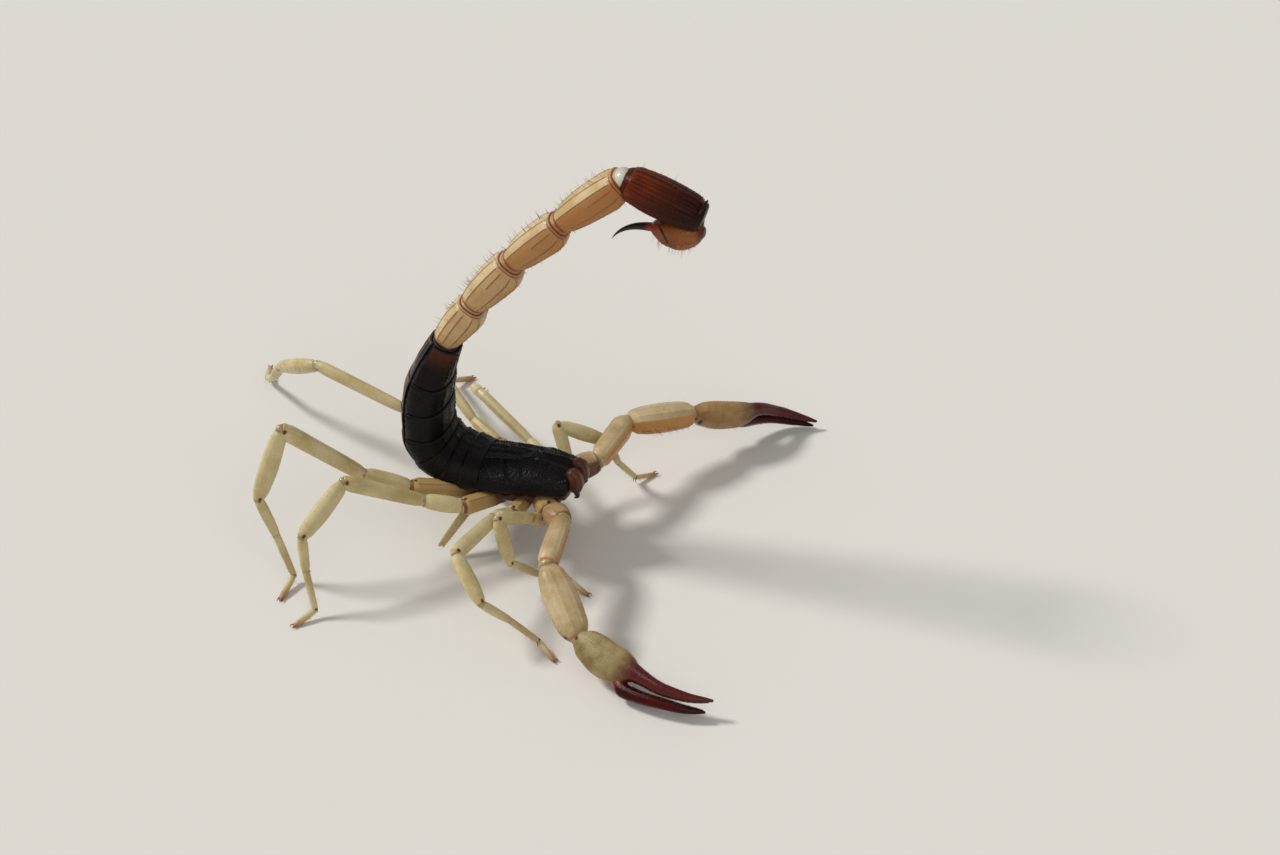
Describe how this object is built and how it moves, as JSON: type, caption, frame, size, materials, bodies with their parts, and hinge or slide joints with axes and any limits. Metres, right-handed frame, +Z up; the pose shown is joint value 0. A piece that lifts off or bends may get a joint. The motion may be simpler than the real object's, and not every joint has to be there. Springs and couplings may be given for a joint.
{
  "type": "desert scorpion",
  "caption": "Life-size still desert scorpion in threat posture: trunk arched up, tail raised forward over the back, pincers reaching ahead, standing on its feet.",
  "frame": {"origin": "on the floor, under the middle of the bounding box", "axes": "+X toward the head, +Y toward the animal's left, +Z up"},
  "size_m": [0.0798, 0.0636, 0.0585],
  "materials": {
    "trunk": "near-black granular cuticle with a dull sheen",
    "coxa": "red-brown smooth cuticle",
    "chelicera": "brown cuticle with darker stripes",
    "limb": "pale olive-cream translucent cuticle",
    "hand": "olive-tan cuticle",
    "finger": "dark red-brown cuticle",
    "tail": "golden tan cuticle with red-brown granular ridges",
    "tail_end": "dark red-brown ridged cuticle",
    "vesicle": "amber smooth cuticle",
    "sting": "black glossy cuticle",
    "eye": "glossy black lens",
    "comb": "pale yellow cuticle"
  },
  "bodies": {
    "root": {"eye_right": "eye", "eye_left": "eye", "carapace": "trunk", "coxosternum": "coxa", "chelicera_right": "chelicera", "chelicera_left": "chelicera", "mesosoma_1": "trunk", "mesosoma_2": "trunk", "mesosoma_3": "trunk", "mesosoma_4": "trunk", "mesosoma_5": "trunk", "mesosoma_6": "trunk", "mesosoma_7": "trunk", "metasoma_1": "tail", "metasoma_2": "tail", "metasoma_3": "tail", "metasoma_4": "tail", "metasoma_5": "tail_end", "vesicle": "vesicle", "aculeus": "sting", "palp_right_trochanter": "limb", "palp_right_femur": "limb", "palp_right_patella": "limb", "palp_right_hand": "hand", "palp_right_finger": "finger", "palp_left_trochanter": "limb", "palp_left_femur": "limb", "palp_left_patella": "limb", "palp_left_hand": "hand", "palp_left_finger": "finger", "leg_right_1_femur": "limb", "leg_right_1_patella": "limb", "leg_right_1_tarsus": "limb", "leg_right_2_femur": "limb", "leg_right_2_patella": "limb", "leg_right_2_tarsus": "limb", "leg_right_3_femur": "limb", "leg_right_3_patella": "limb", "leg_right_3_tarsus": "limb", "leg_right_4_femur": "limb", "leg_right_4_patella": "limb", "leg_right_4_tarsus": "limb", "leg_left_1_femur": "limb", "leg_left_1_patella": "limb", "leg_left_1_tarsus": "limb", "leg_left_2_femur": "limb", "leg_left_2_patella": "limb", "leg_left_2_tarsus": "limb", "leg_left_3_femur": "limb", "leg_left_3_patella": "limb", "leg_left_3_tarsus": "limb", "leg_left_4_femur": "limb", "leg_left_4_patella": "limb", "leg_left_4_tarsus": "limb", "pectine_right": "comb", "pectine_left": "comb"}
  },
  "joints": []
}
